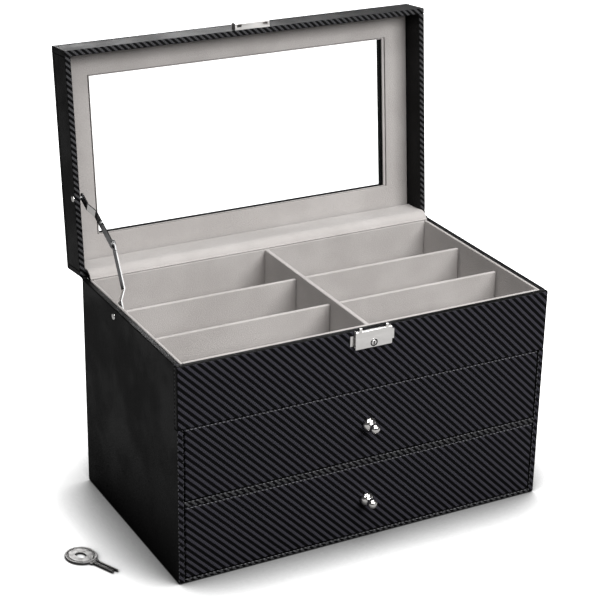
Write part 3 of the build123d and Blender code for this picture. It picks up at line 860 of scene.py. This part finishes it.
# %% Spinning the pulls
PULL_PROFILE = [                         # radius and distance out of the front, in millimetres
    (5.4, 0.0), (5.85, 0.5), (6.0, 1.3), (5.85, 2.2), (5.35, 3.2), (4.5, 4.1), (3.5, 4.75),
    (2.6, 5.1), (2.15, 5.4), (2.0, 5.8), (2.05, 6.15),
]
BALL_R, BALL_OUT = 4.35, 10.0            # the ball's radius, and how far out its centre is
NECK_ANGLE, BALL_STEPS = 152, 11         # from the neck, round to the tip
for step in range(1, BALL_STEPS + 1):
    angle = radians(NECK_ANGLE - step * NECK_ANGLE / BALL_STEPS)
    PULL_PROFILE.append((BALL_R * sin(angle), BALL_OUT + BALL_R * cos(angle)))


def draw_edges(name, points):
    """A row of edges through some points, drawn from one vertex. It stays in edit mode."""
    bpy.ops.mesh.primitive_plane_add(size=0.001)
    piece = bpy.context.object
    piece.name = name
    take(piece)
    bpy.ops.object.mode_set(mode="EDIT")
    bpy.ops.mesh.select_mode(type="VERT")
    bpy.ops.mesh.select_all(action="SELECT")
    bpy.ops.mesh.merge(type="CENTER")
    bpy.ops.transform.translate(value=points[0])
    for before, after in zip(points, points[1:]):
        bpy.ops.mesh.extrude_vertices_move(TRANSFORM_OT_translate={"value": after - before})
    bpy.ops.mesh.select_all(action="SELECT")
    return piece


OUT_OF_FRONT = Vector((0, -1, 0))
TO_THE_RIGHT = Vector((1, 0, 0))


def spin_profile(name, profile, centre, turns=48):
    """Spin a profile of (radius, distance out of the front) pairs about a line through centre."""
    points = [centre + TO_THE_RIGHT * (r * MM) + OUT_OF_FRONT * (d * MM) for r, d in profile]
    piece = draw_edges(name, points)
    bpy.ops.mesh.spin(steps=turns, angle=2 * pi, center=centre, axis=OUT_OF_FRONT)
    bpy.ops.mesh.select_all(action="SELECT")
    bpy.ops.mesh.remove_doubles(threshold=0.00002)
    face_outwards()
    leave_edit()
    take(piece)
    bpy.ops.object.shade_smooth_by_angle(angle=radians(50))
    return piece


for drawer in DRAWERS:
    low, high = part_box(f"{drawer}_knob")
    centre = Vector((0, high.y, (low.z + high.z) / 2))
    pull = spin_profile(f"{drawer}_pull", PULL_PROFILE, centre)
    paint(pull, nickel)
    finish(pull, drawer, "chrome", f"{drawer}_knob")
    print(pull.name, "reaches", round(min(v.co.y for v in pull.data.vertices), 4))

# %% [markdown]
# ## The lid
# Four walls and a top frame make the lid. The walls are smooth outside and ribbed on the rim that
# meets the case.

# %% Lid walls
LID_EDGE = 0.0008
RIM = (rim_leather, lambda c, n: looks(n, 2, -1, 0.5))
for wall in ("front", "back", "left", "right"):
    node = f"lid_{wall}_wall"
    piece = block(node + "_cover", *closed_box(node))
    soften(piece, LID_EDGE)
    paint(piece, smooth_leather, RIM)
    open_lid(piece)
    finish(piece, "lid", "smooth_leather", node)
print("lid walls done")


# %% [markdown]
# ### The window
# The frame round the window is two boards on each other. The lower one's opening is as wide as
# the pane, so the pane sits in it as in a rebate. Four cuts mark an opening, its two faces are
# deleted, and the two rims are bridged to close the hole's walls. The velvet lining has the same
# kind of hole, and a narrow velvet bead lies on the pane inside it, wider at the right end.

# %% Boards with an opening
def cut_opening(piece, low, high):
    """Cut a rectangular hole through a flat board along Z."""
    edit_all(piece)
    for point, normal in (
        ((low[0], 0, 0), (1, 0, 0)), ((high[0], 0, 0), (1, 0, 0)),
        ((0, low[1], 0), (0, 1, 0)), ((0, high[1], 0), (0, 1, 0)),
    ):
        bpy.ops.mesh.select_all(action="SELECT")
        bpy.ops.mesh.bisect(plane_co=point, plane_no=normal)
    leave_edit()

    def in_hole(c, n):
        return abs(n.z) > 0.9 and low[0] < c.x < high[0] and low[1] < c.y < high[1]

    edit_faces(piece, in_hole)
    bpy.ops.mesh.delete(type="FACE")
    bpy.ops.mesh.select_mode(type="EDGE")
    bpy.ops.mesh.select_non_manifold()
    bpy.ops.mesh.bridge_edge_loops()
    face_outwards()
    leave_edit()


WINDOW_LOW, WINDOW_HIGH = (-0.1386, -0.0663), (0.1356, 0.0663)
PANE_LOW, PANE_HIGH = closed_box("lid_window_pane")
REBATE = 0.0001                          # room round the pane
low, high = closed_box("lid_top_frame")
frame_above = block("lid_window_frame", (low.x, low.y, PANE_HIGH.z), high)
cut_opening(frame_above, WINDOW_LOW, WINDOW_HIGH)
frame_below = block("lid_window_frame_lower", low, (high.x, high.y, PANE_HIGH.z))
cut_opening(
    frame_below,
    (PANE_LOW.x - REBATE, PANE_LOW.y - REBATE), (PANE_HIGH.x + REBATE, PANE_HIGH.y + REBATE),
)
soften(frame_above, LID_EDGE)
soften(frame_below, radius=0.0003)
window_frame = join([frame_above, frame_below], "lid_window_frame")
paint(window_frame, smooth_leather)
open_lid(window_frame)
finish(window_frame, "lid", "smooth_leather", "lid_top_frame")
print("window", [round(h - l, 4) for l, h in zip(WINDOW_LOW, WINDOW_HIGH)])

# %% Velvet round the window
LINING_LOW, LINING_HIGH = (-0.1406, -0.0677), (0.1406, 0.0677)
lining = block("lid_lining", *closed_box("lid_lining_frame"))
cut_opening(lining, LINING_LOW, LINING_HIGH)
soften(lining, FLOOR_EDGE)
paint(lining, velvet)
open_lid(lining)
finish(lining, "lid", "velvet", "lid_lining_frame")

BEAD_HALF_X, BEAD_HALF_Y, BEAD_RISE = 0.1398, 0.0674, 0.0013
BEAD_HOLE_LOW, BEAD_HOLE_HIGH = (-0.1392, -0.0668), (0.1375, 0.0668)
bead = block(
    "window_bead",
    (-BEAD_HALF_X, -BEAD_HALF_Y, PANE_LOW.z - BEAD_RISE), (BEAD_HALF_X, BEAD_HALF_Y, PANE_LOW.z),
)
cut_opening(bead, BEAD_HOLE_LOW, BEAD_HOLE_HIGH)
soften(bead, radius=0.00015, segments=2)
paint(bead, velvet)
open_lid(bead)
finish(bead, "lid", "velvet")
print("lining's hole", [round(h - l, 4) for l, h in zip(LINING_LOW, LINING_HIGH)])

# %% [markdown]
# ### The flap over the hinges
# A strip of velvet is glued to the tray's rim and to the lid's lining, and hides the hinges. Its
# section is an arc round the hinge line and then a run up to the lining, which sags a little. The
# section is drawn as a row of edges, extruded along the box and thickened.

# %% Velvet flap
def bent_sheet(name, section, low_x, high_x, thickness, columns=1):
    """A sheet with its section, (y, z) pairs in millimetres, drawn and then extruded along X."""
    points = [Vector((low_x, y * MM, z * MM)) for y, z in section]
    piece = draw_edges(name, points)
    for _ in range(columns):
        extrude(((high_x - low_x) / columns, 0, 0))
    face_outwards()
    leave_edit()
    apply_modifier(piece, "SOLIDIFY", thickness=thickness, offset=0)
    edit_all(piece)
    face_outwards()
    leave_edit()
    return piece


GLUED_AT = (87.3, 189.5)                 # places are (y, z) in millimetres
FLAP_R, ARC_START, ARC_STEP, ARC_POINTS = 8.1, 158, 5.5, 15
RUN_END, RUN_SAG, RUN_STEPS = (119.7, 193.0), 0.5, 6
flap_section = [GLUED_AT]
for step in range(ARC_POINTS):
    angle = radians(ARC_START - step * ARC_STEP)
    flap_section.append((HINGE.y / MM + FLAP_R * cos(angle), HINGE.z / MM + FLAP_R * sin(angle)))
arc_y, arc_z = flap_section[-1]
for step in range(1, RUN_STEPS + 1):
    share = step / RUN_STEPS
    sag = RUN_SAG * sin(pi * share)
    flap_section.append(
        (arc_y + share * (RUN_END[0] - arc_y), arc_z + share * (RUN_END[1] - arc_z) - sag)
    )
flap_low, flap_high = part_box("hinge_liner")
flap = bent_sheet(
    "hinge_flap", flap_section, flap_low.x, flap_high.x, thickness=0.001, columns=12
)
take(flap)
bpy.ops.object.shade_smooth_by_angle(angle=radians(40))
paint(flap, velvet)
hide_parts("hinge_liner")
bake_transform(flap)

# %% [markdown]
# ### The strip at the back
# A narrow leather strip closes the gap between the back panel and the lid, above the hinges. Its
# section starts on the back panel's face and runs over its edge to the lid.

# %% Leather strip
low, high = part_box("hinge_gap_strip")
strip_section = [
    (94.55, 188.2), (94.62, 188.7), (95.0, 189.05), (95.6, 189.15), (96.3, 189.17), (97.0, 189.17),
    (97.6, 189.15), (98.1, 189.1),
]
strip = bent_sheet("hinge_strip", strip_section, low.x, high.x, thickness=0.0004)
paint(strip, smooth_leather)
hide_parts("hinge_gap_strip")
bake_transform(strip)
print("strip is", round(strip.dimensions.x, 4), "wide")

# %% [markdown]
# ## The lock
# The lever is a folded plate. Its lower half stands a little proud of a crease, and its top is
# rolled round the pin. The two hooks on top catch the lid. All four are thin sheets with a drawn
# section, and are joined into one piece.

# %% Lever
def out_of_front(section):
    """A section given as (distance out of the front, height) turned into (y, z)."""
    return [(FRONT_Y / MM - out, height) for out, height in section]


LEVER_HALF, ROLL_HALF = 0.0165, 0.015
PIN_OUT, PIN_HEIGHT, ROLL_R = 1.75, 187.1, 1.02
HOOK_X, HOOK_HALF = 0.012, 0.0012
plate_section = out_of_front([
    (3.3, 173.4), (3.3, 177.0), (3.3, 181.6), (3.1, 182.3), (3.05, 183.2), (3.05, 186.6),
    (2.95, 187.4), (2.75, 188.0),
])
roll_section = out_of_front([
    (PIN_OUT + ROLL_R * cos(radians(a)), PIN_HEIGHT + ROLL_R * sin(radians(a)))
    for a in range(10, 250, 20)
])
hook_section = out_of_front([(3.1, 187.6), (3.1, 191.0), (2.9, 191.2), (2.5, 191.2)])
lever_parts = [
    bent_sheet("lever_plate", plate_section, -LEVER_HALF, LEVER_HALF, thickness=0.0006),
    bent_sheet("lever_roll", roll_section, -ROLL_HALF, ROLL_HALF, thickness=0.0005),
]
for x in (-HOOK_X, HOOK_X):
    hook = bent_sheet("hook", hook_section, x - HOOK_HALF, x + HOOK_HALF, thickness=0.0004)
    lever_parts.append(hook)
for part in lever_parts:
    soften(part, radius=0.00015, segments=2, angle=40)
lever = join(lever_parts, "lock_lever_cover")
paint(lever, satin_nickel)
finish(lever, "lock_lever", "steel", "lock_lever")
print("lever spans", [round(c, 4) for c in lever.dimensions])

# %% [markdown]
# ### The leaf spring
# A thin steel leaf behind the lever pushes it back out.

# %% Leaf spring
SPRING_LOW_X, SPRING_HIGH_X = 0.0055, 0.0095
spring_section = out_of_front([
    (0.97, 184.0), (0.97, 182.6), (0.97, 181.5), (1.4, 180.2), (1.85, 178.9), (2.27, 177.6),
    (2.65, 176.4), (2.65, 175.4),
])
spring = bent_sheet(
    "spring_leaf", spring_section, SPRING_LOW_X, SPRING_HIGH_X, thickness=0.0003
)
paint(spring, steel)
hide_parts("lock_spring")
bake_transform(spring)
print("spring is", round(spring.dimensions.z, 4), "high")

# %% [markdown]
# ### The key's barrel
# The barrel is spun like the pulls, with a shallow groove round its face. A small block stands
# for the slot. The groove and the block's face are painted black as the shade in a groove and a
# slot.

# %% Barrel
BARREL_PROFILE = [                       # radius and distance out of the lever, in millimetres
    (3.5, -0.3), (3.5, 0.05), (3.35, 0.12), (3.2, 0.12), (3.1, 0.03), (2.3, 0.03), (2.2, 0.15),
    (0.0, 0.2),
]
LEVER_OUT, BARREL_HEIGHT = 0.0036, 0.1773
GROOVE_IN, GROOVE_OUT = 0.0022, 0.0032
SLOT_HALF, SLOT_OUT = Vector((0.0005, 0, 0.0017)), Vector((0, -0.00025, 0))
barrel_centre = Vector((0, FRONT_Y - LEVER_OUT, BARREL_HEIGHT))
barrel = spin_profile("key_barrel", BARREL_PROFILE, barrel_centre)
key_slot = block("key_slot", barrel_centre + SLOT_OUT - SLOT_HALF, barrel_centre + SLOT_HALF)
barrel = join([barrel, key_slot], "key_barrel")


def painted_shade_on_barrel(c, n):
    """The groove, and the outer face of the slot's block, painted black as shade."""
    away = sqrt(c.x ** 2 + (c.z - barrel_centre.z) ** 2)
    in_slot = away < 0.0001 and c.y < barrel_centre.y - 0.00022
    return GROOVE_IN < away < GROOVE_OUT or in_slot


# The groove and the slot's block are painted black as shade.
paint(barrel, satin_nickel, (smooth_leather, painted_shade_on_barrel))
finish(barrel, "lock_cylinder", "steel", "lock_cylinder")
print("barrel spans", [round(c, 4) for c in barrel.dimensions])

# %% [markdown]
# ## The key
# The bow starts as a cylinder scaled to an oval. Insets on its top make the raised rim and the
# sunk field, and the last ring becomes the hole. The blade is two long edges with a thin web. The
# key is modelled at the origin along X, and then put in its place in front of the box.

# %% Bow
KEY_THICK = 0.002
BOW_HALF_X, BOW_HALF_Y = 0.0135, 0.012
BOW_INSETS = [                           # width of each ring, and how far it rises
    (0.0004, 0), (0.001, -0.0001), (0.0004, -0.0004), (0.0007, 0), (0.0004, 0.0003),
    (0.0055, -0.0001),
]
UNDER_INSET = 0.0084                     # the six rings together, so both holes match
CENTRE_REACH = 0.0008
bpy.ops.mesh.primitive_cylinder_add(
    vertices=72, radius=1, depth=1, location=(0, 0, KEY_THICK / 2)
)
bpy.context.object.scale = (BOW_HALF_X, BOW_HALF_Y, KEY_THICK)
bow = settle(bpy.context.object, "key_bow")
edit_faces(bow, lambda c, n: looks(n, 2, 1))
for width, rise in BOW_INSETS:
    bpy.ops.mesh.inset(thickness=width, depth=rise)
leave_edit()
edit_faces(bow, lambda c, n: looks(n, 2, -1))
bpy.ops.mesh.inset(thickness=UNDER_INSET)
leave_edit()
edit_faces(bow, lambda c, n: abs(n.z) > 0.9 and Vector((c.x, c.y)).length < CENTRE_REACH)
bpy.ops.mesh.delete(type="FACE")
bpy.ops.mesh.select_mode(type="EDGE")
bpy.ops.mesh.select_non_manifold()
bpy.ops.mesh.bridge_edge_loops()
leave_edit()
soften(bow, radius=0.0002, segments=2, angle=30)
print("bow spans", [round(c, 4) for c in bow.dimensions])

# %% Blade
KEY_PLACE = Vector((-0.2204, -0.0210, 0))
KEY_TURN = atan2(-0.909, 0.417)
near_edge = block("blade_near_edge", (0.0115, -0.0028, 0), (0.0368, -0.0012, KEY_THICK))
far_edge = block("blade_far_edge", (0.0115, 0.0012, 0), (0.0382, 0.0028, KEY_THICK))
web = block("blade_web", (0.0115, -0.0016, 0.0004), (0.0352, 0.0016, 0.0011))
shoulder = block("key_shoulder", (0.0105, -0.0042, 0.0001), (0.016, 0.0042, KEY_THICK - 0.0003))
for part in (near_edge, far_edge, shoulder):
    soften(part, radius=0.0005, segments=2)
key = join([bow, near_edge, far_edge, web, shoulder], "key_cover")
key.matrix_world = Matrix.Translation(KEY_PLACE) @ Matrix.Rotation(KEY_TURN, 4, "Z")
settle(key, "key_cover")
paint(key, key_nickel)
finish(key, "key", "steel", "key")
print("key spans", [round(c, 4) for c in key.dimensions])

# %% [markdown]
# ## Small fittings from the CAD model
# The CAD shapes of the small fittings are right, so they stay and get their materials. The arms
# of the stay are one nickel, but their sides get a dark copy of it and their edges a less dark one,
# as painted shade, and their sloping steps keep the bright nickel, so their faces are told apart by
# their normals. The lid rivet's head outside the wall keeps the bright nickel, and the rest of it
# gets the dimmer copy as painted shade.

# %% Materials on the CAD parts
def coat(material, *nodes):
    """Give CAD nodes a material."""
    for node in nodes:
        paint(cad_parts[node], material)


EDGE_ON, SIDE_ON = 0.3, 0.95             # how much an arm's face looks along X
RIVET_HEAD = 0.0015
# The sides and edges of the arms get the darker copies as painted shade. The sloping steps keep the
# bright nickel.
for node in ("stay_lower_arm", "stay_upper_arm"):
    arm_edge = (nickel_painted_half_shade, lambda c, n: abs(n.x) < EDGE_ON)
    arm_step = (nickel, lambda c, n: EDGE_ON <= abs(n.x) < SIDE_ON)
    paint(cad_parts[node], nickel_painted_shade, arm_edge, arm_step)
# The lid rivet's head keeps the bright nickel. The rest of it and the elbow rivet get the dimmer
# copy as painted shade.
outer_head_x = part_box("stay_lid_rivet")[0].x + RIVET_HEAD
paint(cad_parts["stay_lid_rivet"], nickel_painted_half_shade, (nickel, lambda c, n: c.x < outer_head_x))
coat(nickel_painted_half_shade, "stay_elbow_rivet")
coat(nickel, "stay_case_rivet")
coat(satin_nickel, "lock_base_plate", "lid_strike")
coat(steel, "hinge_case_leaves", "hinge_lid_leaves", "hinge_pins")
coat(steel, "hinge_case_screws", "hinge_lid_screws", "lid_strike_rivets")
coat(steel, "lock_screws", "lock_pin", "lock_cam")
coat(felt, "base_felt")
coat(painted_board, "tray_floor_board")
coat(pane_clear, "lid_window_pane")
print("coated CAD nodes")
